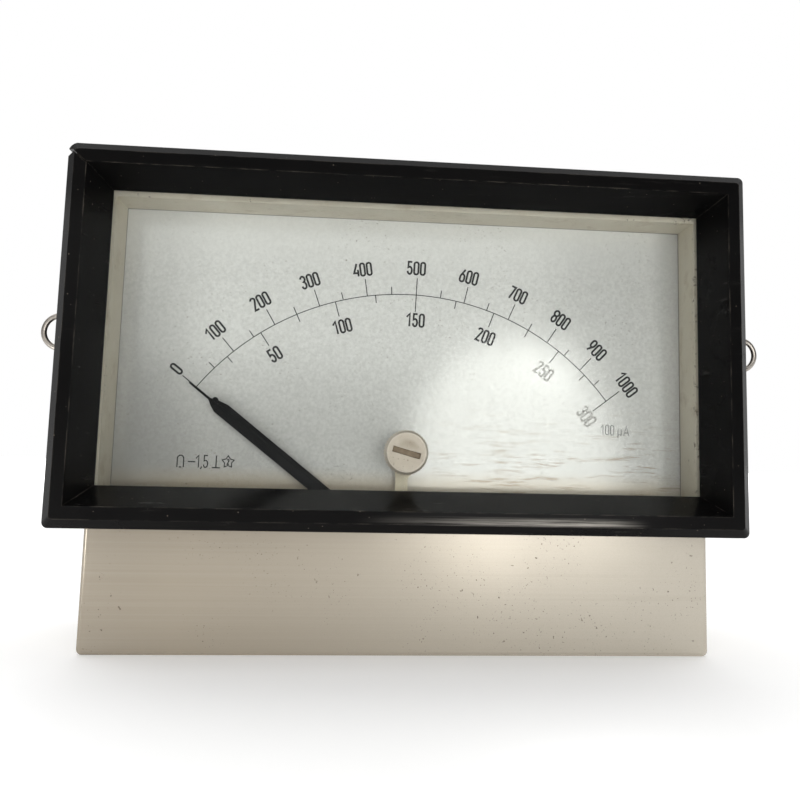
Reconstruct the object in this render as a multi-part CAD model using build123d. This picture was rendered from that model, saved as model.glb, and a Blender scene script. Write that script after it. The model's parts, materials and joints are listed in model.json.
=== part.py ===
from build123d import *
import math
import os

os.makedirs("parts", exist_ok=True)

# ---- driving dimensions, mm.  X right, Z up; depths are counted back from the bezel's front face
DEPTH = 115.0                       # bezel front to terminal tips
BEZEL_W, BEZEL_H, BEZEL_D = 240.0, 130.5, 23.0
BEZEL_Z = 110.3                     # height of the bezel's centre
CHAMFER_W, CHAMFER_D = 3.2, 3.6
LAND_W, LAND_H = 225.2, 115.4       # opening at the front face
SIGHT_W, SIGHT_H, SIGHT_RISE, SIGHT_D = 218.3, 106.1, 1.2, 19.2
GLASS_W, GLASS_H, GLASS_D0, GLASS_T = 222.0, 110.0, 19.9, 2.5
CASE_W, CASE_H, CASE_D0, CASE_D1, CASE_T = 226.0, 173.0, 23.0, 95.0, 1.2
WINDOW_X, WINDOW_Z0, WINDOW_Z1 = 110.2, 57.3, 165.5
BOX_X, BOX_TOP, BOX_T = 109.05, 163.24, 0.8
DIAL_D, DIAL_X, DIAL_TOP, DIAL_BOTTOM = 38.0, 110.5, 165.9, 44.0
PIVOT_X, PIVOT_Z = -0.5, 33.8
KNOB_Z = 72.3
REST_DEG = -52.3                    # pointer at zero, clockwise from straight up
POINTER_D = 33.6
CHASSIS_D0, CHASSIS_D1 = 60.0, 62.0
CORE_R, BORE_R = 9.6, 12.6
PIN_R, PIN_OFFSET, FORK_HALF = 1.2, 1.6, 1.32
TERMINAL_X, TERMINAL_Z = 35.0, 60.0
EYE_R, EYE_WIRE_R, EYE_D, EYE_Z = 5.65, 0.95, 10.0, 110.65


def slab(x0, x1, d0, d1, z0, z1):
    """Box given by its limits, depth measured from the bezel front."""
    return Pos((x0 + x1) / 2, (d0 + d1) / 2 - DEPTH / 2, (z0 + z1) / 2) * Box(
        x1 - x0, d1 - d0, z1 - z0)


def rod(x, z, r, d0, d1):
    """Cylinder along the depth."""
    return Pos(x, (d0 + d1) / 2 - DEPTH / 2, z) * Rot(90, 0, 0) * Cylinder(r, d1 - d0)


def cone(x, z, r0, r1, d0, d1):
    """Cone along the depth, r0 at d0 and r1 at d1."""
    return Pos(x, (d0 + d1) / 2 - DEPTH / 2, z) * Rot(-90, 0, 0) * Cone(r0, r1, d1 - d0)


def screw(x, z, head_r, shank_r, d_head, head_t, length, back=1):
    """Pan head whose seat is at d_head; the shank runs toward -back, the head toward +back."""
    h0, h1 = sorted((d_head, d_head + back * head_t))
    s0, s1 = sorted((d_head, d_head - back * length))
    head = rod(x, z, head_r, h0, h1)
    f0, f1 = sorted((d_head + back * (head_t - 0.5), d_head + back * head_t))
    slot = slab(x - head_r - 1, x + head_r + 1, f0, f1, z - 0.35, z + 0.35)
    return head - slot + rod(x, z, shank_r, s0, s1)


def plane_at(d, x=0.0, z=0.0):
    """Sketch plane facing the front: sketch X is X, sketch Y is Z."""
    return Plane(origin=(x, d - DEPTH / 2, z), x_dir=(1, 0, 0), z_dir=(0, -1, 0))


def plate(sketch, d0, d1, x=0.0, z=0.0):
    """Sketch seen from the front, extruded from depth d0 to d1."""
    return extrude(plane_at(d1, x, z) * sketch, amount=d1 - d0)


def about_pivot(shape, degrees):
    """Turn about the movement's axis, positive clockwise seen from the front."""
    return (Pos(PIVOT_X, 0, PIVOT_Z) * Rot(0, degrees, 0)
            * Pos(-PIVOT_X, 0, -PIVOT_Z)) * shape


def group(*solids):
    return Compound(children=list(solids))


def save(shape, node):
    export_step(shape, f"parts/{node}.step")


# ---- housing
BEZEL_SCREWS = [(x, z) for x in (-70.0, 0.0, 70.0) for z in (50.5, 169.2)]


def make_bezel():
    nose = loft([
        plane_at(0, 0, BEZEL_Z) * RectangleRounded(
            BEZEL_W - 2 * CHAMFER_W, BEZEL_H - 2 * CHAMFER_W, 1.2),
        plane_at(CHAMFER_D, 0, BEZEL_Z) * RectangleRounded(BEZEL_W, BEZEL_H, 2.0)], ruled=True)
    body = nose + plate(RectangleRounded(BEZEL_W, BEZEL_H, 2.0), CHAMFER_D, BEZEL_D, 0, BEZEL_Z)
    throat = loft([
        plane_at(0, 0, BEZEL_Z) * Rectangle(LAND_W, LAND_H),
        plane_at(SIGHT_D, 0, BEZEL_Z + SIGHT_RISE) * Rectangle(SIGHT_W, SIGHT_H)], ruled=True)
    body -= throat
    body -= plate(Rectangle(SIGHT_W, SIGHT_H), SIGHT_D, GLASS_D0, 0, BEZEL_Z + SIGHT_RISE)
    body -= plate(Rectangle(GLASS_W + 1, GLASS_H + 1), GLASS_D0, BEZEL_D, 0, BEZEL_Z + SIGHT_RISE)
    for x, z in BEZEL_SCREWS:
        body -= rod(x, z, 1.25, 15.5, BEZEL_D)
    for side in (-1, 1):
        for dz in (-EYE_R, EYE_R):
            hole = Rot(0, 90, 0) * Cylinder(1.0, 14.4)
            body -= Pos(side * 120.0, EYE_D - DEPTH / 2, EYE_Z + dz) * hole
    chip = Polyline((-121.5, 63.4), (-121.5, 59.9), (-116.9, 61.3), (-117.6, 62.0), close=True)
    body -= plate(make_face(chip), -1, BEZEL_D + 1, 0, BEZEL_Z)
    crack = Polyline((-117.6, 61.7), (-114.4, 58.6), (-111.5, 56.6), (-111.5, 56.8),
                     (-114.3, 58.8), (-117.4, 61.9), close=True)
    body -= plate(make_face(crack), -1, 3.0, 0, BEZEL_Z)
    worn = Pos(-BEZEL_W / 2, 0, BEZEL_Z + BEZEL_H / 2) * Rot(0, 45, 0) * Box(3.6, 60, 8)
    return body - Pos(0, -DEPTH / 2, 0) * worn


def make_case():
    d = CASE_D1 - CASE_D0
    outer = slab(-CASE_W / 2, CASE_W / 2, CASE_D0, CASE_D1, 0, CASE_H)
    outer = fillet(outer.edges().filter_by(Axis.Y), 2.0)
    outer = fillet(outer.faces().sort_by(Axis.Y)[0].edges(), 1.4)
    inner = slab(-CASE_W / 2 + CASE_T, CASE_W / 2 - CASE_T, CASE_D0 + CASE_T, CASE_D0 + d + 1,
                 CASE_T, CASE_H - CASE_T)
    inner = fillet(inner.edges().filter_by(Axis.Y), 0.8)
    case = outer - inner - slab(-WINDOW_X, WINDOW_X, 20, 30, WINDOW_Z0, WINDOW_Z1)
    for x, z in BEZEL_SCREWS:
        case -= rod(x, z, 1.3, 20, 30)
    for z in (30.0, 143.0):
        case -= Pos(0, 89 - DEPTH / 2, z) * Rot(0, 90, 0) * Cylinder(1.3, 240)
    return case


def make_glass():
    pane = plate(Rectangle(GLASS_W, GLASS_H), GLASS_D0, GLASS_D0 + GLASS_T,
                 0, BEZEL_Z + SIGHT_RISE)
    return pane - rod(PIVOT_X, KNOB_Z, 4.1, 15, 30)


def make_gasket():
    ring = Rectangle(GLASS_W + 0.8, GLASS_H + 0.8) - Rectangle(GLASS_W - 0.5, GLASS_H - 0.5)
    return plate(ring, GLASS_D0 + GLASS_T, CASE_D0, 0, BEZEL_Z + SIGHT_RISE)


def make_rear_cover():
    w, h = 223.2, 170.2
    tray = plate(RectangleRounded(w, h, 0.9), 85.3, 94.8, 0, CASE_H / 2)
    tray -= plate(Rectangle(w - 3.0, h - 3.0), 85.0, 93.3, 0, CASE_H / 2)
    for side in (-1, 1):
        tray -= rod(side * TERMINAL_X, TERMINAL_Z, 5.0, 80, 100)
        for k in range(6):
            tray -= slab(side * 70 - 16, side * 70 + 16, 90, 100, 115 + 6 * k, 117.4 + 6 * k)
    for z in (30.0, 143.0):
        tray -= Pos(0, 89 - DEPTH / 2, z) * Rot(0, 90, 0) * Cylinder(1.25, 240)
    return tray


def make_cover_screws():
    solids = []
    for side in (-1, 1):
        for z in (30.0, 143.0):
            head = Pos(side * 113.7, 0, 0) * Rot(0, 90, 0) * Cylinder(2.4, 1.4)
            head -= Pos(side * 114.3, 0, 0) * Box(1.0, 6, 0.7)
            shank = Pos(side * 110.5, 0, 0) * Rot(0, 90, 0) * Cylinder(1.2, 5.2)
            solids.append(Pos(0, 89 - DEPTH / 2, z) * (head + shank))
    return group(*solids)


def make_wire_eye(side):
    """Rigid half ring of wire whose two legs are pressed into the bezel's side."""
    x = 120.5
    path = (Line((113.2, 0, -EYE_R), (x, 0, -EYE_R))
            + ThreePointArc((x, 0, -EYE_R), (x + EYE_R, 0, 0), (x, 0, EYE_R))
            + Line((x, 0, EYE_R), (113.2, 0, EYE_R)))
    wire = sweep(Plane(origin=(113.2, 0, -EYE_R), z_dir=(1, 0, 0)) * Circle(EYE_WIRE_R), path=path)
    wire = Pos(0, EYE_D - DEPTH / 2, EYE_Z) * wire
    return wire if side > 0 else mirror(wire, about=Plane.YZ)


# ---- dial and the walls round it
def make_shadow_box():
    d0, d1 = 22.5, DIAL_D
    x1 = BOX_X + BOX_T
    flange_top = BEZEL_Z + SIGHT_RISE + GLASS_H / 2 - 0.3
    shell = slab(-x1, x1, d0, d1, DIAL_BOTTOM, BOX_TOP + BOX_T)
    shell += slab(-GLASS_W / 2 + 0.3, GLASS_W / 2 - 0.3, d0, CASE_D0, WINDOW_Z0, flange_top)
    shell -= slab(-BOX_X, BOX_X, d0 - 1, d1 + 1, DIAL_BOTTOM - 1, BOX_TOP)
    shell -= slab(-x1 - 2, x1 + 2, d0 - 1, CASE_D0 + CASE_T + 0.2, DIAL_BOTTOM - 1, WINDOW_Z0 + 0.4)
    for side in (-1, 1):
        x0, x2 = sorted((side * 90.0, side * (BOX_X + 0.1)))
        shell += slab(x0, x2, d1 - BOX_T, d1, 45, 54)
        shell -= rod(side * 95.0, 50.0, 1.3, 30, 40)
    return shell


def make_dial():
    dial = slab(-DIAL_X, DIAL_X, DIAL_D, DIAL_D + 1, DIAL_BOTTOM, DIAL_TOP)
    dial -= slab(-28, 28, 30, 45, 40, 50)
    for side in (-1, 1):
        dial -= rod(side * 95.0, 50.0, 1.3, 30, 45)
    return dial


DIAL_PILLARS = [(x, z) for x in (-95.0, 95.0) for z in (50.0, 158.0)]


def make_dial_pillars():
    return group(*[rod(x, z, 2.2, DIAL_D + 1, CHASSIS_D0) - rod(x, z, 1.2, DIAL_D, 48)
                   for x, z in DIAL_PILLARS])


def make_pointer_stops():
    solids = []
    for side in (-1, 1):
        x, z = PIVOT_X + side * 30.6, PIVOT_Z + 14.85
        post = rod(x, z, 0.9, 32.2, DIAL_D)
        solids += [post, rod(x, z, 1.5, 32.4, 36.5) - rod(x, z, 0.9, 32, 37)]
    return group(*solids)


# ---- chassis and magnet
CHASSIS_PILLARS = [(x, z) for x in (-100.0, 100.0) for z in (20.0, 168.7)]


def make_chassis():
    deck = slab(-106, 106, CHASSIS_D0, CHASSIS_D1, 8, 171.2)
    deck -= rod(PIVOT_X, PIVOT_Z, 17, 50, 70)
    for side in (-1, 1):
        deck -= slab(side * 62 - 22, side * 62 + 22, 50, 70, 88, 140)
        deck -= rod(PIVOT_X + side * 24, PIVOT_Z, 1.3, 50, 70)
    for x, z in CHASSIS_PILLARS:
        deck -= rod(x, z, 1.3, 50, 70)
    return deck


def make_chassis_pillars():
    return group(*[rod(x, z, 2.5, CASE_D0 + CASE_T, CHASSIS_D0) - rod(x, z, 1.25, 50, 61)
                   for x, z in CHASSIS_PILLARS])


def make_magnet():
    z0 = 5.0
    block = slab(-29, 29, 40, CHASSIS_D0, z0, 50) - slab(-18, 18, 30, 70, 16, 60)
    block = fillet(block.edges().filter_by(Axis.Y).group_by(Axis.Z)[0], 6.0)
    for side in (-1, 1):
        block -= rod(PIVOT_X + side * 23.5, PIVOT_Z, 1.2, 39, 46)
    return block


def make_pole(side):
    x0, x1 = sorted((side * 6.0, side * 18.0))
    pole = slab(x0, x1, 41, 59, PIVOT_Z - 14, PIVOT_Z + 14)
    return pole - rod(PIVOT_X, PIVOT_Z, BORE_R, 30, 70)


def make_core():
    return rod(PIVOT_X, PIVOT_Z, CORE_R, 41, 59)


def make_core_support():
    solids = []
    for side in (-1, 1):
        z = sorted((PIVOT_Z + side * (CORE_R - 0.4), PIVOT_Z + side * 14.0))
        c = sorted((PIVOT_Z + side * 14.0, PIVOT_Z + side * 15.9))
        web = slab(PIVOT_X - 2.2, PIVOT_X + 2.2, 44, 56, z[0], z[1])
        solids.append(web + slab(PIVOT_X - 10, PIVOT_X + 10, 43, 57, c[0], c[1])
                      - rod(PIVOT_X, PIVOT_Z, CORE_R, 40, 60))
    return group(*solids)


# ---- moving coil, built pointing straight up and then turned to rest
def make_former():
    y, t = (39.2, 60.8), 0.6
    frame = slab(-10.9, 10.9, y[0], y[1], -2.1, 2.1) - slab(-10.3, 10.3, y[0] + t, y[1] - t, -3, 3)
    return about_pivot(Pos(PIVOT_X, 0, PIVOT_Z) * frame, REST_DEG)


def make_winding():
    coil = slab(-11.9, 11.9, 38.2, 61.8, -1.7, 1.7) - slab(-10.9, 10.9, 39.2, 60.8, -3, 3)
    return about_pivot(Pos(PIVOT_X, 0, PIVOT_Z) * coil, REST_DEG)


def make_front_pivot():
    return (rod(PIVOT_X, PIVOT_Z, 0.5, 31.2, 38.2) + cone(PIVOT_X, PIVOT_Z, 0.12, 0.5, 30.75, 31.2)
            + rod(PIVOT_X, PIVOT_Z, 1.3, 31.8, 32.6) + rod(PIVOT_X, PIVOT_Z, 2.4, 37.4, 38.2)
            - rod(PIVOT_X, PIVOT_Z, 0.45, 33.0, 35.6) + rod(PIVOT_X, PIVOT_Z, 0.45, 33.0, 35.6))


def make_rear_pivot():
    return (rod(PIVOT_X, PIVOT_Z, 0.5, 61.8, 65.4) + cone(PIVOT_X, PIVOT_Z, 0.5, 0.12, 65.4, 65.85)
            + rod(PIVOT_X, PIVOT_Z, 1.3, 63.5, 64.3) + rod(PIVOT_X, PIVOT_Z, 2.4, 61.8, 62.6))


def make_hub():
    hub = rod(PIVOT_X, PIVOT_Z, 3.4, 33.0, 35.4) - rod(PIVOT_X, PIVOT_Z, 0.5, 30, 40)
    arms = []
    for angle in (90.0, 180.0, 270.0):
        arm = slab(PIVOT_X - 0.6, PIVOT_X + 0.6, 34.7, 35.4, PIVOT_Z + 3.0, PIVOT_Z + 14.5)
        arms.append(about_pivot(arm, angle + REST_DEG))
    return hub + arms


BALANCE_R = {90.0: 1.5, 180.0: 2.6, 270.0: 1.5}


def make_balance():
    solids = []
    for angle, r in BALANCE_R.items():
        weight = rod(PIVOT_X, PIVOT_Z + 12.2, r, 34.2, 36.4)
        weight -= slab(PIVOT_X - 0.6, PIVOT_X + 0.6, 34.7, 35.4, PIVOT_Z + 3.0, PIVOT_Z + 14.5)
        weight -= slab(PIVOT_X - 0.3, PIVOT_X + 0.3, 34.0, 34.8, PIVOT_Z + 8, PIVOT_Z + 16)
        solids.append(about_pivot(weight, angle + REST_DEG))
    return group(*solids)


def make_needle():
    """Wide blade with a raised rib, tapered head, small bump and a knife edge at the tip."""
    outline = Polyline((-1.5, 3.0), (-2.3, 9.0), (-2.3, 37.0), (-2.8, 40.0), (-2.65, 88.4),
                       (-1.5, 91.2), (-0.45, 92.9),
                       (-0.28, 102.6), (0.28, 102.6), (0.45, 92.9), (1.6, 90.2), (2.6, 86.0),
                       (2.1, 9.0), (1.5, 3.0), close=True)
    blade = plate(make_face(outline), POINTER_D, POINTER_D + 0.7, PIVOT_X, PIVOT_Z)
    rib = Polyline((-0.7, 4.2), (-0.7, 86.5), (-0.3, 90.0), (0.3, 90.0), (0.7, 86.5), (0.7, 4.2),
                   close=True)
    blade += plate(make_face(rib), POINTER_D - 0.4, POINTER_D, PIVOT_X, PIVOT_Z)
    blade += plate(Pos(1.1, 90.9) * Circle(1.05), POINTER_D - 0.3, POINTER_D + 0.7, PIVOT_X, PIVOT_Z)
    blade -= rod(PIVOT_X, PIVOT_Z, 3.4, 30, 40)
    return about_pivot(blade, REST_DEG)


# ---- bearings, springs and the zero lever
def make_front_bridge():
    strap = slab(PIVOT_X - 27, PIVOT_X + 27, 28.3, 30.3, PIVOT_Z - 4, PIVOT_Z + 4)
    strap = fillet(strap.edges().filter_by(Axis.Y), 2.0) - rod(PIVOT_X, PIVOT_Z, 1.9, 20, 40)
    for side in (-1, 1):
        x = PIVOT_X + side * 23.5
        strap += rod(x, PIVOT_Z, 2.4, 30.3, 40)
        strap -= rod(x, PIVOT_Z, 1.25, 20, 45)
    return strap


def make_bridge_screws():
    front = [screw(PIVOT_X + s * 23.5, PIVOT_Z, 2.2, 1.15, 28.3, 1.3, 16.0, -1) for s in (-1, 1)]
    rear = [screw(PIVOT_X + s * 24, PIVOT_Z, 2.2, 1.15, 68.3, 1.3, 7.5, 1) for s in (-1, 1)]
    return group(*front, *rear)


def make_front_jewel():
    body = rod(PIVOT_X, PIVOT_Z, 1.9, 24.9, 31.4) - rod(PIVOT_X, PIVOT_Z, 0.58, 30.6, 32)
    return body - slab(-3, 3, 24, 25.5, PIVOT_Z - 0.25, PIVOT_Z + 0.25)


def make_lock_nut(d0, d1):
    nut = plate(RegularPolygon(3.6, 6), d0, d1, PIVOT_X, PIVOT_Z)
    return nut - rod(PIVOT_X, PIVOT_Z, 1.9, d0 - 1, d1 + 1)


def make_zero_lever():
    d0, d1 = 27.1, 28.0
    knob_up = KNOB_Z - PIVOT_Z
    arm = Polyline((-2.4, 2.0), (-3.3, 15.0), (-3.3, 29.0), (-3.6, 31.5), (-3.6, knob_up + 1.0),
                   (3.6, knob_up + 1.0), (3.6, 31.5), (1.25, 29.0), (1.25, 15.0), (2.4, 2.0),
                   (1.4, -9.0), (-1.4, -9.0), close=True)
    lever = plate(make_face(arm) + Circle(4.2), d0, d1, PIVOT_X, PIVOT_Z)
    lever -= rod(PIVOT_X, PIVOT_Z, 1.95, 20, 30)
    lever -= slab(PIVOT_X - FORK_HALF, PIVOT_X + FORK_HALF, 20, 30, PIVOT_Z + 33.4, KNOB_Z + 3)
    return lever + slab(PIVOT_X - 0.7, PIVOT_X + 0.7, d1, 32.5, PIVOT_Z - 8.6, PIVOT_Z - 7.4)


def make_spring(d0, d1, end_deg):
    """Flat spiral hairspring from the collet out to its anchor."""
    turns, r0, r1, steps = 4, 1.65, 7.3, 96
    pts = []
    for k in range(steps + 1):
        a = math.radians(end_deg - 360 * turns * (1 - k / steps))
        r = r0 + (r1 - r0) * k / steps
        pts.append((r * math.sin(a), r * math.cos(a)))
    curve = plane_at(d1, PIVOT_X, PIVOT_Z) * Spline(*pts)
    start = curve @ 0
    section = Plane(origin=start, x_dir=(0, 1, 0), z_dir=curve % 0) * Rectangle(d1 - d0, 0.16)
    return Pos(0, (d0 - d1) / 2, 0) * sweep(section, path=curve)


def make_rear_bridge():
    strap = slab(PIVOT_X - 27, PIVOT_X + 27, 66.3, 68.3, PIVOT_Z - 4, PIVOT_Z + 4)
    strap = fillet(strap.edges().filter_by(Axis.Y), 2.0) - rod(PIVOT_X, PIVOT_Z, 1.9, 60, 75)
    for side in (-1, 1):
        strap += rod(PIVOT_X + side * 24, PIVOT_Z, 2.4, CHASSIS_D1, 66.3)
        strap -= rod(PIVOT_X + side * 24, PIVOT_Z, 1.25, 55, 75)
    strap += slab(PIVOT_X - 2, PIVOT_X + 2, 66.3, 68.3, PIVOT_Z - 9, PIVOT_Z - 3.9)
    return strap + slab(PIVOT_X - 0.7, PIVOT_X + 0.7, 63.6, 66.3, PIVOT_Z - 8.6, PIVOT_Z - 7.4)


def make_rear_jewel():
    body = rod(PIVOT_X, PIVOT_Z, 1.9, 65.2, 71) - rod(PIVOT_X, PIVOT_Z, 0.58, 64, 66)
    return body - slab(-3, 3, 70.4, 72, PIVOT_Z - 0.25, PIVOT_Z + 0.25)


# ---- zero adjuster in the glass
def make_knob_cap():
    flare = cone(PIVOT_X, KNOB_Z, 7.1, 8.2, 15.8, 19.6)
    rim = rod(PIVOT_X, KNOB_Z, 6.85, 15.2, 15.8)
    dish = Pos(PIVOT_X, 16.6 - 15.33 - DEPTH / 2, KNOB_Z) * Sphere(15.33)
    cap = flare + rim - dish
    for k in range(44):
        a = 2 * math.pi * k / 44
        cap -= rod(PIVOT_X + 8.15 * math.cos(a), KNOB_Z + 8.15 * math.sin(a), 0.34, 16.8, 20)
    slot = Pos(PIVOT_X, 16.6 - DEPTH / 2, KNOB_Z) * Rot(0, 15, 0) * Box(10.4, 2.4, 2.3)
    return cap - slot + rod(PIVOT_X, KNOB_Z, 4.02, 19.6, CASE_D0)


def make_slot_insert():
    return Pos(PIVOT_X, 17.4 - DEPTH / 2, KNOB_Z) * Rot(0, 15, 0) * Box(10.2, 0.7, 2.1)


def make_retainer():
    return rod(PIVOT_X, KNOB_Z, 6.5, 22.7, 24.0) - rod(PIVOT_X, KNOB_Z, 4.02, 22, CASE_D0)


def make_eccentric_pin():
    return rod(PIVOT_X, KNOB_Z - PIN_OFFSET, PIN_R, 24.0, 29.2)


# ---- electrical parts at the back
def make_bobbin():
    ends = rod(60, 40, 9, CHASSIS_D1, 64) + rod(60, 40, 9, 78, 80)
    return ends + rod(60, 40, 4.5, 63, 79)


def make_resistor_winding():
    return rod(60, 40, 7.6, 64, 78) - rod(60, 40, 4.5, 60, 80)


def tube(points, r=0.55):
    path = Spline(*[(x, d - DEPTH / 2, z) for x, d, z in points])
    return sweep(Plane(origin=path @ 0, z_dir=path % 0) * Circle(r), path=path)


def make_leads():
    t, z = TERMINAL_X, TERMINAL_Z
    return group(tube([(t, 79.5, z), (t + 4, 76, z - 3), (t + 12, 74, z - 10), (60, 72, 48.8)]),
                 tube([(51.3, 68, 40), (44, 72, 38), (34, 73, 36), (26.5, 70.3, 34.5)]),
                 tube([(-t, 79.5, z), (-t - 2, 75, z - 8), (-t, 72, 44), (-27.5, 70.3, 35)]))


def make_studs():
    """Threaded length, relief neck and a plain pilot end that takes a socket."""
    solids = []
    for s in (-1, 1):
        x, z = s * TERMINAL_X, TERMINAL_Z
        solids.append(rod(x, z, 2.5, 80, 106.6) + rod(x, z, 1.8, 106.6, 108.4)
                      + rod(x, z, 2.2, 108.4, 114.4) + cone(x, z, 2.2, 1.7, 114.4, DEPTH))
    return group(*solids)


def make_bushes():
    solids = []
    for s in (-1, 1):
        x, z = s * TERMINAL_X, TERMINAL_Z
        bush = rod(x, z, 5.0, 93.3, 94.8) + rod(x, z, 7.5, 94.8, 97) + rod(x, z, 7.0, 91.3, 93.3)
        solids.append(bush - rod(x, z, 2.5, 90, 98))
    return group(*solids)


def make_inner_nuts():
    return group(*[plate(RegularPolygon(5.0, 6), 88.3, 91.3, s * TERMINAL_X, TERMINAL_Z)
                   - rod(s * TERMINAL_X, TERMINAL_Z, 2.5, 85, 95) for s in (-1, 1)])


def make_washers():
    return group(*[rod(s * TERMINAL_X, TERMINAL_Z, 5.5, 97, 98)
                   - rod(s * TERMINAL_X, TERMINAL_Z, 2.5, 96, 99) for s in (-1, 1)])


def make_thumb_nut(side):
    x, z = side * TERMINAL_X, TERMINAL_Z
    nut = rod(x, z, 6.6, 98.6, 106.0) + rod(x, z, 4.2, 98.3, 98.6) + rod(x, z, 5.0, 106.0, 107.4)
    for k in range(28):
        a = 2 * math.pi * k / 28
        nut -= rod(x + 6.7 * math.cos(a), z + 6.7 * math.sin(a), 0.36, 99.4, 105.2)
    return nut - rod(x, z, 2.56, 95, 110)


if __name__ == "__main__":
    save(make_bezel(), "bezel")
    save(make_glass(), "glass_pane")
    save(make_gasket(), "glass_gasket")
    save(make_case(), "case_body")
    save(group(*[screw(x, z, 2.2, 1.2, CASE_D0 + CASE_T, 1.5, 8.0) for x, z in BEZEL_SCREWS]),
         "bezel_screws")
    save(make_rear_cover(), "rear_cover")
    save(make_cover_screws(), "cover_screws")
    save(make_wire_eye(-1), "wire_eye_left")
    save(make_wire_eye(1), "wire_eye_right")
    save(make_shadow_box(), "shadow_box")
    save(make_dial(), "dial_plate")
    save(make_dial_pillars(), "dial_pillars")
    save(group(*[screw(s * 95.0, 50.0, 2.2, 1.1, DIAL_D - BOX_T, 1.2, 9.0, -1) for s in (-1, 1)]),
         "dial_screws")
    save(make_pointer_stops(), "pointer_stops")
    save(make_chassis(), "chassis_plate")
    save(make_chassis_pillars(), "chassis_pillars")
    save(group(*[screw(x, z, 2.4, 1.15, CHASSIS_D1, 1.6, 9.5) for x, z in CHASSIS_PILLARS]),
         "pillar_screws")
    save(make_magnet(), "magnet")
    save(make_pole(-1), "pole_piece_left")
    save(make_pole(1), "pole_piece_right")
    save(make_core(), "core")
    save(make_core_support(), "core_support")
    save(make_former(), "coil_former")
    save(make_winding(), "coil_winding")
    save(make_front_pivot(), "front_pivot")
    save(make_rear_pivot(), "rear_pivot")
    save(make_hub(), "pointer_hub")
    save(make_balance(), "balance_weights")
    save(make_needle(), "pointer_needle")
    save(make_front_bridge(), "front_bridge")
    save(make_bridge_screws(), "bridge_screws")
    save(make_front_jewel(), "front_jewel_screw")
    save(make_lock_nut(25.4, 26.8), "front_lock_nut")
    save(make_zero_lever(), "zero_lever")
    save(make_spring(31.9, 32.5, 180), "front_hairspring")
    save(make_rear_bridge(), "rear_bridge")
    save(make_rear_jewel(), "rear_jewel_screw")
    save(make_lock_nut(68.3, 69.8), "rear_lock_nut")
    save(make_spring(63.6, 64.2, 180), "rear_hairspring")
    save(make_knob_cap(), "zero_knob_cap")
    save(make_slot_insert(), "knob_slot_insert")
    save(make_retainer(), "knob_retainer")
    save(make_eccentric_pin(), "knob_eccentric_pin")
    save(make_bobbin(), "resistor_bobbin")
    save(make_resistor_winding(), "resistor_winding")
    save(make_leads(), "lead_wires")
    save(make_studs(), "terminal_studs")
    save(make_bushes(), "terminal_bushes")
    save(make_inner_nuts(), "terminal_nuts")
    save(make_washers(), "terminal_washers")
    save(make_thumb_nut(-1), "thumb_nut_left")
    save(make_thumb_nut(1), "thumb_nut_right")
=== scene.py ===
import bpy
import json
import math
from mathutils import Matrix, Vector


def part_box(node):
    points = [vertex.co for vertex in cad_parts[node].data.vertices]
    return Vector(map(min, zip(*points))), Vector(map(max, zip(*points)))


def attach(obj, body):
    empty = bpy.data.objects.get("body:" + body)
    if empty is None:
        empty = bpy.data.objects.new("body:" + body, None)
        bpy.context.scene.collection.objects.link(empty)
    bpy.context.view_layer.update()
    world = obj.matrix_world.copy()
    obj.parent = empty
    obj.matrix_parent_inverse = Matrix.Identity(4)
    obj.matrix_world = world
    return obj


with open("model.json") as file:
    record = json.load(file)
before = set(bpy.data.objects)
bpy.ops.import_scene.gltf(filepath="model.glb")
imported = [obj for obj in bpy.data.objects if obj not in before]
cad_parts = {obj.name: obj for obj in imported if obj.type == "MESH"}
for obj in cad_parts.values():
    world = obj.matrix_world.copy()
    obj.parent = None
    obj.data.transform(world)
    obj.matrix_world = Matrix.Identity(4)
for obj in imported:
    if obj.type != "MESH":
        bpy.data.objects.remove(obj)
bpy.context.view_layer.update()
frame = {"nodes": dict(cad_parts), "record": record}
NODES = frame["nodes"]

MM = 0.001
X, Y, Z = 0, 1, 2                         # axis numbers for Look.axis
PIVOT = (-0.72 * MM, 33.75 * MM)          # centre of the printed scale, X and Z
PRINT_LIFT = 0.03 * MM                    # print sits this far in front of the dial
DIAL_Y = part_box("dial_plate")[0][1] - PRINT_LIFT


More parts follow.
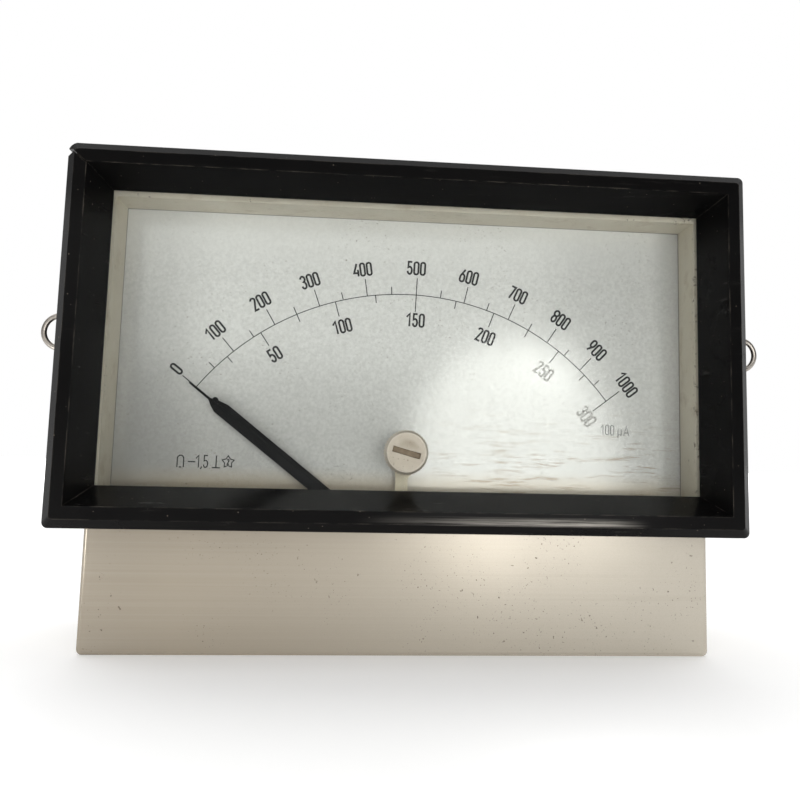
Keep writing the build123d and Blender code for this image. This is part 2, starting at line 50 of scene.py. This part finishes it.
# ---------------------------------------------------------------- materials
class Look:
    """Small helper round one node material."""

    def __init__(self, name):
        self.mat = bpy.data.materials.new(name)
        self.mat.use_nodes = True
        self.t = self.mat.node_tree
        self.bsdf = self.t.nodes["Principled BSDF"]
        self.coord = self.t.nodes.new("ShaderNodeTexCoord").outputs["Object"]

    def node(self, kind, **inputs):
        n = self.t.nodes.new(kind)
        for key, value in inputs.items():
            self.feed(n.inputs[key.replace("_", " ")], value)
        return n

    def feed(self, socket, value):
        if isinstance(value, bpy.types.NodeSocket):
            self.t.links.new(value, socket)
        else:
            socket.default_value = value

    def scaled(self, sx, sy, sz):
        """Object coordinates squeezed per axis, for noise drawn out into streaks."""
        n = self.t.nodes.new("ShaderNodeMapping")
        self.t.links.new(self.coord, n.inputs["Vector"])
        n.inputs["Scale"].default_value = (sx, sy, sz)
        return n.outputs["Vector"]

    def noise(self, scale, detail=3.0, rough=0.55, vector=None):
        n = self.node("ShaderNodeTexNoise", Scale=scale, Detail=detail, Roughness=rough)
        self.t.links.new(vector or self.coord, n.inputs["Vector"])
        return n.outputs["Fac"]

    def dots(self, scale, radius):
        """1 inside small scattered spots, else 0."""
        n = self.node("ShaderNodeTexVoronoi", Scale=scale)
        self.t.links.new(self.coord, n.inputs["Vector"])
        return self.ramp(n.outputs["Distance"], (radius * 0.5, 1.0), (radius, 0.0))

    def ramp(self, fac, *stops):
        n = self.t.nodes.new("ShaderNodeValToRGB")
        self.t.links.new(fac, n.inputs["Fac"])
        e = n.color_ramp.elements
        while len(e) < len(stops):
            e.new(0.5)
        for k, (pos, val) in enumerate(stops):
            e[k].position = pos
            e[k].color = (val, val, val, 1) if isinstance(val, (int, float)) else (*val, 1)
        return n.outputs["Color"]

    def math(self, op, a, b):
        n = self.t.nodes.new("ShaderNodeMath")
        n.operation = op
        self.feed(n.inputs[0], a)
        self.feed(n.inputs[1], b)
        return n.outputs[0]

    def times(self, a, b):
        return self.math("MULTIPLY", a, b)

    def mix(self, fac, a, b):
        """Colour a where fac is 0, colour b where it is 1."""
        n = self.t.nodes.new("ShaderNodeMix")
        n.data_type = "RGBA"
        self.feed(n.inputs["Factor"], fac)
        self.feed(n.inputs["A"], (*a, 1) if isinstance(a, tuple) else a)
        self.feed(n.inputs["B"], (*b, 1) if isinstance(b, tuple) else b)
        return n.outputs["Result"]

    def axis(self, index, lo, hi):
        """0 at lo to 1 at hi along one axis of the object, in metres."""
        sep = self.t.nodes.new("ShaderNodeSeparateXYZ")
        self.t.links.new(self.coord, sep.inputs[0])
        n = self.node("ShaderNodeMapRange")
        n.interpolation_type = "SMOOTHSTEP"
        self.t.links.new(sep.outputs[index], n.inputs["Value"])
        n.inputs["From Min"].default_value = lo
        n.inputs["From Max"].default_value = hi
        return n.outputs["Result"]

    def inverse(self, value):
        return self.math("SUBTRACT", 1.0, value)

    def specks(self, scale, amount, where_scale, where):
        """1 inside small irregular specks that gather in some areas."""
        spots = self.ramp(self.noise(scale, 3, 0.5), (amount, 0.0), (amount + 0.03, 1.0))
        areas = self.ramp(self.noise(where_scale, 3), (where, 0.0), (where + 0.08, 1.0))
        return self.times(spots, areas)

    def edges(self, radius):
        """Bright where the surface turns sharply."""
        bevel = self.node("ShaderNodeBevel", Radius=radius)
        bevel.samples = 4
        geo = self.t.nodes.new("ShaderNodeNewGeometry")
        dot = self.t.nodes.new("ShaderNodeVectorMath")
        dot.operation = "DOT_PRODUCT"
        self.t.links.new(bevel.outputs[0], dot.inputs[0])
        self.t.links.new(geo.outputs["Normal"], dot.inputs[1])
        return self.ramp(dot.outputs["Value"], (0.80, 1.0), (0.985, 0.0))

    def bump(self, height, strength=0.2, distance=0.0002):
        n = self.node("ShaderNodeBump", Strength=strength, Distance=distance, Height=height)
        self.t.links.new(n.outputs[0], self.bsdf.inputs["Normal"])

    def set(self, **inputs):
        for key, value in inputs.items():
            self.feed(self.bsdf.inputs[key.replace("_", " ")], value)
        return self


def bezel_look():
    """Glossy black moulding: grime, scuffs, edges worn by rubbing, and a painted sheen over the scuffs
    along the lower front strip.
    """
    m = Look("bezel_black")
    grime = m.noise(38, 5)
    fine = m.noise(900, 2)
    scuff = m.ramp(m.noise(1, 6, 0.7, m.scaled(30, 60, 420)), (0.60, 0.0), (0.72, 1.0))
    worn = m.times(m.edges(0.0007), m.ramp(m.noise(160, 5), (0.42, 0.0), (0.62, 1.0)))
    base = m.mix(grime, (0.0028, 0.0028, 0.003), (0.0065, 0.0062, 0.006))
    base = m.mix(m.times(scuff, 0.35), base, (0.030, 0.028, 0.026))
    base = m.mix(m.times(worn, 0.8), base, (0.085, 0.075, 0.062))
    base = m.mix(m.dots(260, 0.07), base, (0.10, 0.085, 0.07))

    # Painted highlight: the lamp's grey sheen on the lower front strip, broken into real scuff streaks.
    land_height = m.times(m.axis(Z, 0.0479, 0.0489), m.inverse(m.axis(Z, 0.0494, 0.0516)))
    land_length = m.times(m.axis(X, -0.020, 0.058), m.inverse(m.axis(X, 0.060, 0.084)))
    land = m.times(land_height, land_length)
    streaks = m.ramp(m.noise(1, 5, 0.7, m.scaled(26, 26, 2100)), (0.36, 0.0), (0.66, 1.0))
    base = m.mix(m.times(land, streaks), base, (0.52, 0.49, 0.44))

    top_dulled = m.times(m.axis(Z, 0.145, 0.162), 0.033)
    shine = m.math("SUBTRACT", 0.045, top_dulled)
    rough = m.math("ADD", m.times(grime, 0.22), m.times(scuff, 0.15))
    rough = m.math("ADD", rough, 0.09)
    m.bump(m.math("ADD", m.times(fine, 0.3), m.times(scuff, 0.5)), 0.25, 0.0001)
    return m.set(Base_Color=base, Roughness=rough, Specular_IOR_Level=shine).mat


def case_look():
    """Brushed, tarnished and pitted plate, browner on the left and darker there, partly as painted
    shade.
    """
    m = Look("case_metal")
    brushed = m.noise(1, 4, 0.6, m.scaled(5, 5, 1300))
    long_lines = m.ramp(m.noise(1, 2, 0.6, m.scaled(4, 4, 420)), (0.60, 0.0), (0.68, 1.0))
    cloud = m.noise(16, 4)
    # Browner tarnish towards the left, and darker there partly as painted shade.
    base = m.mix(m.axis(X, -0.113, 0.113), (0.355, 0.295, 0.213), (0.60, 0.55, 0.46))
    # Painted shade: the left end of the plate darkened further.
    left_end_painted_shade = m.inverse(m.axis(X, -0.115, -0.075))
    base = m.mix(m.times(left_end_painted_shade, 0.55), base, (0.22, 0.18, 0.13))
    base = m.mix(m.times(cloud, 0.35), base, (0.33, 0.30, 0.25))
    base = m.mix(m.times(brushed, 0.22), base, (0.66, 0.64, 0.58))
    base = m.mix(m.times(long_lines, 0.07), base, (0.27, 0.23, 0.18))
    base = m.mix(m.times(m.noise(2600, 2), 0.4), base, (0.36, 0.325, 0.265))

    pits = m.math("MAXIMUM", m.specks(620, 0.69, 38, 0.52), m.specks(1500, 0.68, 30, 0.48))
    band_pits = m.times(m.axis(Z, 0.034, 0.040), m.specks(900, 0.64, 60, 0.50))
    pits = m.math("MAXIMUM", pits, m.times(band_pits, m.axis(X, 0.02, 0.05)))
    base = m.mix(m.times(pits, 0.8), base, (0.10, 0.075, 0.05))
    base = m.mix(m.times(m.edges(0.0009), 0.35), base, (0.16, 0.13, 0.10))

    m.bump(m.math("SUBTRACT", m.times(brushed, 0.5), pits), 0.25, 0.00012)
    rough = m.math("ADD", m.times(cloud, 0.14), 0.17)
    return m.set(Base_Color=base, Metallic=0.45, Roughness=rough).mat


def dial_look():
    """Off-white grained sheet stained along its foot, with painted light towards the top and painted
    shade at the lower left, along the left side and at the right edge.
    """
    m = Look("dial_white")
    grain = m.ramp(m.noise(900, 3, 0.65), (0.36, 0.0), (0.64, 1.0))
    cloud = m.noise(14, 4)
    base = m.mix(grain, (0.63, 0.623, 0.60), (0.755, 0.748, 0.722))
    base = m.mix(m.times(cloud, 0.25), base, (0.52, 0.515, 0.495))
    # Painted light: the dial made lighter towards its top.
    base = m.mix(m.times(m.axis(Z, 0.136, 0.163), 0.6), base, (0.84, 0.835, 0.81))

    # Painted shade: darker towards the lower left.
    low_left_painted_shade = m.times(m.inverse(m.axis(Z, 0.058, 0.115)), m.inverse(m.axis(X, -0.10, 0.01)))
    base = m.mix(m.times(low_left_painted_shade, 0.5), base, (0.22, 0.205, 0.18))
    foot = m.inverse(m.axis(Z, 0.058, 0.067))
    base = m.mix(m.times(foot, 0.56), base, (0.58, 0.46, 0.29))
    low_right = m.times(m.inverse(m.axis(Z, 0.062, 0.098)), m.axis(X, -0.01, 0.035))
    streak = m.ramp(m.noise(1, 6, 0.7, m.scaled(75, 75, 780)), (0.54, 0.0), (0.66, 1.0))
    base = m.mix(m.times(m.times(streak, low_right), 0.8), base, (0.33, 0.24, 0.15))
    base = m.mix(m.times(m.specks(1300, 0.66, 60, 0.50), 0.55), base, (0.20, 0.17, 0.13))

    # Painted shade: darker along the left side, less towards the top, and in a band at the right edge.
    less_at_top = m.math("SUBTRACT", 0.9, m.times(m.axis(Z, 0.118, 0.150), 0.6))
    left_shade = m.times(m.inverse(m.axis(X, -0.112, -0.070)), less_at_top)
    ends = m.math("MAXIMUM", m.axis(X, 0.0955, 0.1065), left_shade)
    base = m.mix(m.times(ends, 0.55), base, (0.30, 0.295, 0.285))

    m.bump(grain, 0.05, 0.00003)
    rough = m.math("ADD", m.times(cloud, 0.06), 0.13)
    return m.set(Base_Color=base, Metallic=0.12, Roughness=rough).mat


def plain_look(name, color, dark, metallic, rough, scale=120, grain=700, spots=0.0, bump=0.12,
               edge=None, shine=0.5):
    """Mottled finish with fine grain, optional specks and optional edge wear."""
    m = Look(name)
    cloud = m.noise(scale, 4)
    fine = m.noise(grain, 2)
    base = m.mix(cloud, color, dark)
    if spots:
        base = m.mix(m.times(m.dots(420, 0.1), spots), base, (0.10, 0.075, 0.05))
    if edge:
        base = m.mix(m.times(m.edges(0.0003), 0.5), base, edge)
    m.bump(m.math("ADD", fine, m.times(cloud, 0.5)), bump, 0.00008)
    r = m.math("ADD", m.times(cloud, 0.18), rough)
    return m.set(Base_Color=base, Metallic=metallic, Roughness=r, Specular_IOR_Level=shine).mat


def wall_look():
    """Cream lining with brown stains, chipped along its front edge, with painted shade in the joint
    against the dial.
    """
    m = Look("box_cream")
    base = m.mix(m.noise(60, 4), CREAM, CREAM_DARK)
    stain = m.ramp(m.noise(150, 5, 0.65), (0.55, 0.0), (0.68, 1.0))
    base = m.mix(m.times(stain, 0.30), base, (0.34, 0.26, 0.16))
    base = m.mix(m.times(m.specks(900, 0.68, 60, 0.50), 0.85), base, (0.09, 0.065, 0.045))

    chips = m.ramp(m.noise(420, 5, 0.7), (0.56, 0.0), (0.63, 1.0))
    front = m.times(m.inverse(m.axis(Y, -0.0338, -0.0322)), chips)
    right_wall = m.axis(X, 0.098, 0.104)
    base = m.mix(m.times(m.times(front, right_wall), 0.8), base, (0.12, 0.08, 0.05))
    seam_painted_shade = m.axis(Y, -0.0206, -0.0198)      # painted shade in the joint against the dial
    base = m.mix(m.times(seam_painted_shade, 0.8), base, (0.10, 0.085, 0.07))
    m.bump(m.noise(900, 2), 0.12, 0.00008)
    return m.set(Base_Color=base, Roughness=0.5).mat


def knob_look():
    """Pale moulding, dirt in the dished face with painted shade towards its upper right, and a rim
    lighter along its sharp edges.
    """
    m = Look("knob_grey")
    base = m.mix(m.noise(300, 4), (0.57, 0.525, 0.435), (0.42, 0.375, 0.295))
    dish = m.times(m.axis(Y, -0.0419, -0.0412), m.inverse(m.axis(Y, -0.0400, -0.0395)))
    # Painted shade: the dished face darker towards its upper right.
    upper_right_painted_shade = m.times(m.axis(Z, 0.0715, 0.0765), m.axis(X, -0.006, 0.0015))
    base = m.mix(m.times(m.times(dish, upper_right_painted_shade), 0.75), base, (0.26, 0.22, 0.155))
    mottle = m.times(m.noise(520, 4, 0.7), 0.35)
    base = m.mix(m.times(dish, mottle), base, (0.36, 0.31, 0.23))
    base = m.mix(m.times(m.specks(1300, 0.66, 120, 0.42), 0.6), base, (0.14, 0.11, 0.08))
    base = m.mix(m.times(m.edges(0.0003), 0.55), base, (0.86, 0.82, 0.72))
    m.bump(m.noise(1500, 2), 0.6, 0.0001)
    return m.set(Base_Color=base, Roughness=0.42).mat


def glass_look():
    """Clear sheet: what is behind shows straight through, with a weak reflection."""
    mat = bpy.data.materials.new("glass")
    mat.use_nodes = True
    t = mat.node_tree
    t.nodes.clear()
    out = t.nodes.new("ShaderNodeOutputMaterial")
    clear = t.nodes.new("ShaderNodeBsdfTransparent")
    clear.inputs["Color"].default_value = (0.975, 0.985, 0.98, 1)
    gloss = t.nodes.new("ShaderNodeBsdfGlossy")
    gloss.inputs["Roughness"].default_value = 0.13
    fres = t.nodes.new("ShaderNodeFresnel")
    fres.inputs["IOR"].default_value = 1.2
    mix = t.nodes.new("ShaderNodeMixShader")
    t.links.new(fres.outputs[0], mix.inputs[0])
    t.links.new(clear.outputs[0], mix.inputs[1])
    t.links.new(gloss.outputs[0], mix.inputs[2])
    t.links.new(mix.outputs[0], out.inputs["Surface"])
    return mat


CREAM, CREAM_DARK = (0.72, 0.675, 0.57), (0.56, 0.50, 0.395)
LOOKS = {
    "bezel_black": bezel_look(),
    "glass": glass_look(),
    "case_metal": case_look(),
    "dial_white": dial_look(),
    "gasket": plain_look("gasket", (0.02, 0.02, 0.02), (0.035, 0.034, 0.032), 0.0, 0.6),
    "box_cream": wall_look(),
    "lever_cream": plain_look("lever_cream", (0.92, 0.82, 0.58), CREAM_DARK, 0.0, 0.4),
    "knob_grey": knob_look(),
    "brass_old": plain_look("brass_old", (0.25, 0.20, 0.13), (0.08, 0.055, 0.035), 0.3, 0.45,
                            scale=500, grain=1800, spots=0.6),
    "pointer_black": plain_look("pointer_black", (0.005, 0.005, 0.006), (0.011, 0.011, 0.011),
                                0.0, 0.45, scale=200, grain=1200, spots=0.35, bump=0.1,
                                edge=(0.03, 0.03, 0.03), shine=0.1),
    "screw_steel": plain_look("screw_steel", (0.55, 0.55, 0.54), (0.38, 0.37, 0.35), 1.0, 0.28, 400),
    "pillar_brass": plain_look("pillar_brass", (0.62, 0.46, 0.20), (0.40, 0.28, 0.12), 1.0, 0.28, 300),
    "chassis_alu": plain_look("chassis_alu", (0.60, 0.60, 0.60), (0.48, 0.48, 0.47), 1.0, 0.36, 90),
    "magnet_iron": plain_look("magnet_iron", (0.05, 0.05, 0.052), (0.09, 0.075, 0.06), 0.4, 0.5, 200),
    "soft_iron": plain_look("soft_iron", (0.40, 0.40, 0.41), (0.28, 0.27, 0.26), 1.0, 0.35, 200),
    "copper": plain_look("copper", (0.45, 0.17, 0.06), (0.30, 0.10, 0.04), 0.7, 0.35, 900),
    "spring_bronze": plain_look("spring_bronze", (0.55, 0.36, 0.16), (0.40, 0.25, 0.10), 1.0, 0.3, 500),
    "bakelite": plain_look("bakelite", (0.055, 0.028, 0.016), (0.030, 0.015, 0.010), 0.0, 0.22, 90),
    "cover_grey": plain_look("cover_grey", (0.30, 0.30, 0.29), (0.20, 0.20, 0.195), 0.2, 0.36,
                             scale=420, grain=900, spots=0.3, bump=0.45),
    "wire_insul": plain_look("wire_insul", (0.38, 0.05, 0.03), (0.25, 0.035, 0.02), 0.0, 0.5),
    "nickel": plain_look("nickel", (0.50, 0.47, 0.43), (0.26, 0.23, 0.20), 1.0, 0.24,
                         scale=600, grain=1500),
}
for part in frame["record"]["subparts"]:
    obj = NODES[part["node"]]
    obj.data.materials.clear()
    obj.data.materials.append(LOOKS[part["material_slot"]])


# ---------------------------------------------------------------- printed scale
def arc(cx, cy, rx, ry, a0, a1, steps=10):
    """Points on an ellipse, angles in degrees counted counter-clockwise from +x."""
    pts = []
    for k in range(steps + 1):
        a = math.radians(a0 + (a1 - a0) * k / steps)
        pts.append((cx + rx * math.cos(a), cy + ry * math.sin(a)))
    return pts


W = 0.34                                   # width of a figure whose height is 1
H = W / 2
GLYPHS = {
    "0": [arc(H, 1 - H, H, H, 180, 0) + arc(H, H, H, H, 0, -180) + [(0, 1 - H)]],
    "1": [[(0.03, 0.74), (0.26, 1.0), (0.26, 0.0)]],
    "2": [arc(H, 1 - H, H, H, 170, -25) + [(0.02, 0.0), (W, 0.0)]],
    "3": [arc(H, 0.77, H, 0.23, 165, -80) + arc(H, 0.27, H, 0.27, 85, -165)],
    "4": [[(0.26, 1.0), (0.0, 0.26), (W, 0.26)], [(0.33, 0.50), (0.33, 0.0)]],
    "5": [[(W - 0.02, 1.0), (0.05, 1.0), (0.04, 0.54)] + arc(H, 0.30, H, 0.30, 115, -165)],
    "6": [[(W - 0.06, 1.0), (0.12, 0.66)] + arc(H, 0.36, H, 0.25, 150, 180, 3)
          + arc(H, H, H, H, 180, 360) + arc(H, 0.38, H, 0.23, 0, 150)],
    "7": [[(0.0, 0.98), (W, 0.98), (0.14, 0.0)]],
    "8": [arc(H, 0.77, 0.20, 0.23, 90, 450, 18), arc(H, 0.27, H, 0.27, 90, 450, 18)],
    "9": [[(0.06, 0.0), (W - 0.12, 0.34)] + arc(H, 0.64, H, 0.25, -30, 0, 3)
          + arc(H, 1 - H, H, H, 0, 180) + arc(H, 0.62, H, 0.23, 180, 330)],
    ",": [[(0.10, 0.06), (0.02, -0.13)]],
    "-": [[(0.0, 0.46), (0.58, 0.46)]],
    "T": [[(0.30, 1.0), (0.30, 0.0)], [(-0.02, 0.0), (0.62, 0.0)]],
    "U": [[(0.0, 0.0), (0.0, 0.70)] + arc(0.26, 0.70, 0.26, 0.28, 180, 0) + [(0.52, 0.0)],
          [(0.17, 0.0), (0.35, 0.0)]],
    "u": [[(0.0, -0.22), (0.0, 0.68)], [(0.0, 0.08), (0.36, 0.08)], [(0.36, 0.68), (0.36, 0.0)]],
    "A": [[(0.0, 0.0), (0.26, 1.0), (0.52, 0.0)], [(0.09, 0.30), (0.43, 0.30)]],
}


END_GROW = 0.15                            # a stroke runs this many pen widths past its ends
MITRE_MAX = 1.7                            # widest corner, in pen widths


class Ink:
    """Gathers flat strokes on the dial and turns them into one mesh."""

    def __init__(self):
        self.verts, self.faces = [], []

    def stroke(self, pts, width, closed=False):
        """Ribbon of constant width along the points (X, Z in metres)."""
        clean = [Vector(pts[0])]
        for p in pts[1:]:
            if (Vector(p) - clean[-1]).length > 1e-6:
                clean.append(Vector(p))
        n, first = len(clean), len(self.verts)
        for k, p in enumerate(clean):
            before = clean[k] - clean[k - 1] if k or closed else clean[1] - clean[0]
            after = clean[(k + 1) % n] - p if k < n - 1 or closed else before
            before, after = before.normalized(), after.normalized()
            square = Vector((-before.y, before.x))
            side = Vector((-before.y - after.y, before.x + after.x))
            side = side.normalized() if side.length > 1e-6 else square
            stretch = min(1.0 / max(side.dot(square), 0.5), MITRE_MAX)
            grow = Vector((0, 0))
            if not closed and k == 0:
                grow = -before * width * END_GROW
            elif not closed and k == n - 1:
                grow = before * width * END_GROW
            for s in (-1, 1):
                q = p + grow + side * (s * stretch * width / 2)
                self.verts.append((q.x, DIAL_Y, q.y))
        for k in range(n if closed else n - 1):
            a, b = first + 2 * k, first + 2 * ((k + 1) % n)
            self.faces.append((a, b, b + 1, a + 1))

    def text(self, string, x, z, height, turn=0.0, pen=0.155, pitch=0.53):
        """String centred on (x, z); turn is clockwise in degrees."""
        c, s = math.cos(math.radians(turn)), math.sin(math.radians(turn))
        full = pitch * (len(string) - 1) + W
        for k, char in enumerate(string):
            for line in GLYPHS[char]:
                pts = []
                for gx, gy in line:
                    u = (gx + k * pitch - full / 2) * height
                    v = (gy - 0.5) * height
                    pts.append((x + u * c + v * s, z - u * s + v * c))
                self.stroke(pts, pen * height)

    def build(self, name, material, slot):
        mesh = bpy.data.meshes.new(name)
        mesh.from_pydata(self.verts, [], self.faces)
        mesh.materials.append(material)
        obj = bpy.data.objects.new(name, mesh)
        bpy.context.scene.collection.objects.link(obj)
        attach(obj, "case")


def polar(r_mm, deg):
    a = math.radians(deg)
    return (PIVOT[0] + r_mm * MM * math.sin(a), PIVOT[1] + r_mm * MM * math.cos(a))


def scale_deg(t):
    """Angle of the reading t (0 to 1): the movement is slightly non-linear."""
    return -52.15 + 115.0 * t - 57.5 * t**2 + 160.0 * t**3 - 173.0 * t**4 + 60.5 * t**5


def ink_look(name, color, thin):
    m = Look(name)
    base = m.mix(m.noise(700, 3), color, thin)
    return m.set(Base_Color=base, Roughness=0.6, Specular_IOR_Level=0.2).mat


INK = ink_look("print_black", (0.010, 0.010, 0.011), (0.03, 0.03, 0.03))
INK_FAINT = ink_look("print_grey", (0.16, 0.16, 0.16), (0.26, 0.26, 0.25))
# Pale grey print: painted reflection of the glare that washes out 250 and 300.
INK_PAINTED_GLARE = ink_look("print_painted_glare", (0.42, 0.41, 0.38), (0.60, 0.59, 0.56))
ARC_R = 100.2                              # radii and tick lengths are in millimetres
ARC_PEN, TICK_PEN = 0.33 * MM, 0.36 * MM
SHORT, LONG_UP, LONG_DOWN, LONG_DOWN_MAIN = 3.0, 6.7, 5.9, 6.6
FIGURE_H = 4.9 * MM

lines = Ink()
lines.stroke([polar(ARC_R, scale_deg(k / 90)) for k in range(91)], ARC_PEN)
for k in range(21):                        # upper scale: long at the hundreds, short between
    a = scale_deg(k / 20)
    lines.stroke([polar(ARC_R, a), polar(ARC_R + (LONG_UP if k % 2 == 0 else SHORT), a)], TICK_PEN)
for k in range(13):                        # lower scale: long at the fifties, short between
    a = scale_deg(k / 12)
    length = SHORT if k % 2 else LONG_DOWN_MAIN if k in (0, 6, 12) else LONG_DOWN
    lines.stroke([polar(ARC_R, a), polar(ARC_R - length, a)], TICK_PEN)
lines.build("scale_lines", INK, "pointer_black")

figures, painted_glare = Ink(), Ink()             # 250 and 300 printed pale: painted reflection of the glare washing them out
for k in range(11):
    a = scale_deg(k / 10)
    radius, shift = (110.9, -0.3) if k else (110.4, 0.25)
    figures.text(str(100 * k), *polar(radius, a + shift), FIGURE_H, a)
for k in range(1, 7):
    a = scale_deg(k / 6)
    (figures if k < 5 else painted_glare).text(str(50 * k), *polar(90.2, a + 0.1), FIGURE_H, a)
figures.build("scale_figures", INK, "pointer_black")
painted_glare.build("scale_figures_painted_glare", INK_PAINTED_GLARE, "pointer_black")

signs = Ink()
ROW_Z, SIGN_H, SIGN_PEN = 67.2 * MM, 4.5 * MM, 0.095
for text, x in (("U", -84.6), ("-", -80.6), ("1", -77.9), (",", -76.0), ("5", -74.9), ("T", -71.6)):
    signs.text(text, x * MM, ROW_Z, SIGN_H, 0.3, SIGN_PEN)
STAR_X, STAR_OUTER, STAR_INNER = -66.6 * MM, 2.35, 1.35
star = []
for k in range(10):
    r = (STAR_OUTER if k % 2 == 0 else STAR_INNER) * MM
    a = math.radians(36 * k)
    star.append((STAR_X + r * math.sin(a), ROW_Z + r * math.cos(a)))
signs.stroke(star, 0.38 * MM, closed=True)
signs.text("2", STAR_X, ROW_Z, 1.8 * MM, 0, 0.24)
signs.build("dial_signs", INK, "pointer_black")

unit = Ink()
for text, x, z, height in (("100", 79.6, 82.9, 3.8), ("u", 84.6, 82.6, 3.6), ("A", 87.0, 82.7, 3.8)):
    unit.text(text, x * MM, z * MM, height * MM, 1.0, 0.10)
unit.build("dial_unit", INK_FAINT, "pointer_black")


# ---------------------------------------------------------------- stage, light, camera
def area(name, loc, target, size, power, color=(1, 1, 1), shape="RECTANGLE"):
    """Soft lamp aimed at a target, hidden from the camera."""
    light = bpy.data.lights.new(name, "AREA")
    light.shape = shape
    light.size, light.size_y = size
    light.energy = power
    light.color = color
    obj = bpy.data.objects.new(name, light)
    obj.location = loc
    obj.rotation_euler = (Vector(target) - Vector(loc)).to_track_quat("-Z", "Y").to_euler()
    obj.visible_camera = False
    bpy.context.scene.collection.objects.link(obj)


def plane(name, corners, material):
    mesh = bpy.data.meshes.new(name)
    mesh.from_pydata(corners, [], [(0, 1, 2, 3)])
    mesh.materials.append(material)
    obj = bpy.data.objects.new(name, mesh)
    bpy.context.scene.collection.objects.link(obj)


# The floor glows a little, and more far behind the object, where it runs into the backdrop.
floor_look = Look("floor_pale")
floor_look.set(Base_Color=(0.94, 0.94, 0.94, 1), Roughness=0.9, Specular_IOR_Level=0.1,
               Emission_Color=(1, 1, 1, 1),
               Emission_Strength=floor_look.math("ADD", 0.22, floor_look.axis(Y, 0.4, 1.6)))
FLOOR = 4.0                                # half the floor's side, in metres
plane("floor", [(-FLOOR, -FLOOR, 0), (FLOOR, -FLOOR, 0), (FLOOR, FLOOR, 0), (-FLOOR, FLOOR, 0)],
      floor_look.mat)


def studio_world():
    """White behind the object, dimmer in front of it, so that the glossy black stays black."""
    world = bpy.data.worlds.new("studio")
    world.use_nodes = True
    t = world.node_tree
    coord = t.nodes.new("ShaderNodeTexCoord")
    sep = t.nodes.new("ShaderNodeSeparateXYZ")
    t.links.new(coord.outputs["Generated"], sep.inputs[0])
    ramp = t.nodes.new("ShaderNodeMapRange")
    ramp.interpolation_type = "SMOOTHSTEP"
    for key, value in (("From Min", -0.15), ("From Max", 0.35), ("To Min", 0.16), ("To Max", 1.0)):
        ramp.inputs[key].default_value = value
    t.links.new(sep.outputs[1], ramp.inputs["Value"])
    t.links.new(ramp.outputs["Result"], t.nodes["Background"].inputs["Strength"])
    t.nodes["Background"].inputs["Color"].default_value = (1, 1, 1, 1)
    bpy.context.scene.world = world


studio_world()
WARM = (1.0, 0.99, 0.97)
# Three lamps make the round bright patch: on the dial, above it, and on the case below.
area("glare", (0.1216, -0.45, 0.0593), (0.038, 0, 0.062), (0.194, 0.240), 0.45, WARM, "ELLIPSE")
area("glare top", (0.158, -0.45, 0.152), (0.060, 0, 0.105), (0.06, 0.06), 0.016, WARM, "ELLIPSE")
area("glare foot", (0.047, -0.145, 0.021), (0.036, -0.035, 0.031), (0.040, 0.024), 0.0026, WARM)
area("window", (-0.22, -0.95, 0.52), (-0.05, 0, 0.12), (1.1, 0.65), 2.6, (1.0, 0.99, 0.975))
area("side", (-0.20, -0.16, 0.028), (-0.07, -0.02, 0.08), (0.035, 0.035), 0.055)
area("overhead", (0.0, 0.6, 3.0), (0, 0.6, 0), (7.0, 7.0), 95.0)

camera = bpy.data.cameras.new("camera")
camera.sensor_width = 36.0
camera.lens = 36.018
camera.shift_x, camera.shift_y = -0.0379, -0.0420
camera.clip_start = 0.01
cam_obj = bpy.data.objects.new("camera", camera)
CAM_PLACE = (-0.01676, -0.32889, 0.07224)
CAM_RIGHT = (0.996059, -0.085673, 0.02295)
CAM_UP = (-0.031969, -0.105428, 0.993913)
CAM_BACK = (-0.082732, -0.99073, -0.107751)
turn = Matrix((CAM_RIGHT, CAM_UP, CAM_BACK)).transposed().to_4x4()
cam_obj.matrix_world = Matrix.Translation(CAM_PLACE) @ turn
bpy.context.scene.collection.objects.link(cam_obj)
bpy.context.scene.camera = cam_obj
bpy.context.scene.view_settings.view_transform = "Standard"
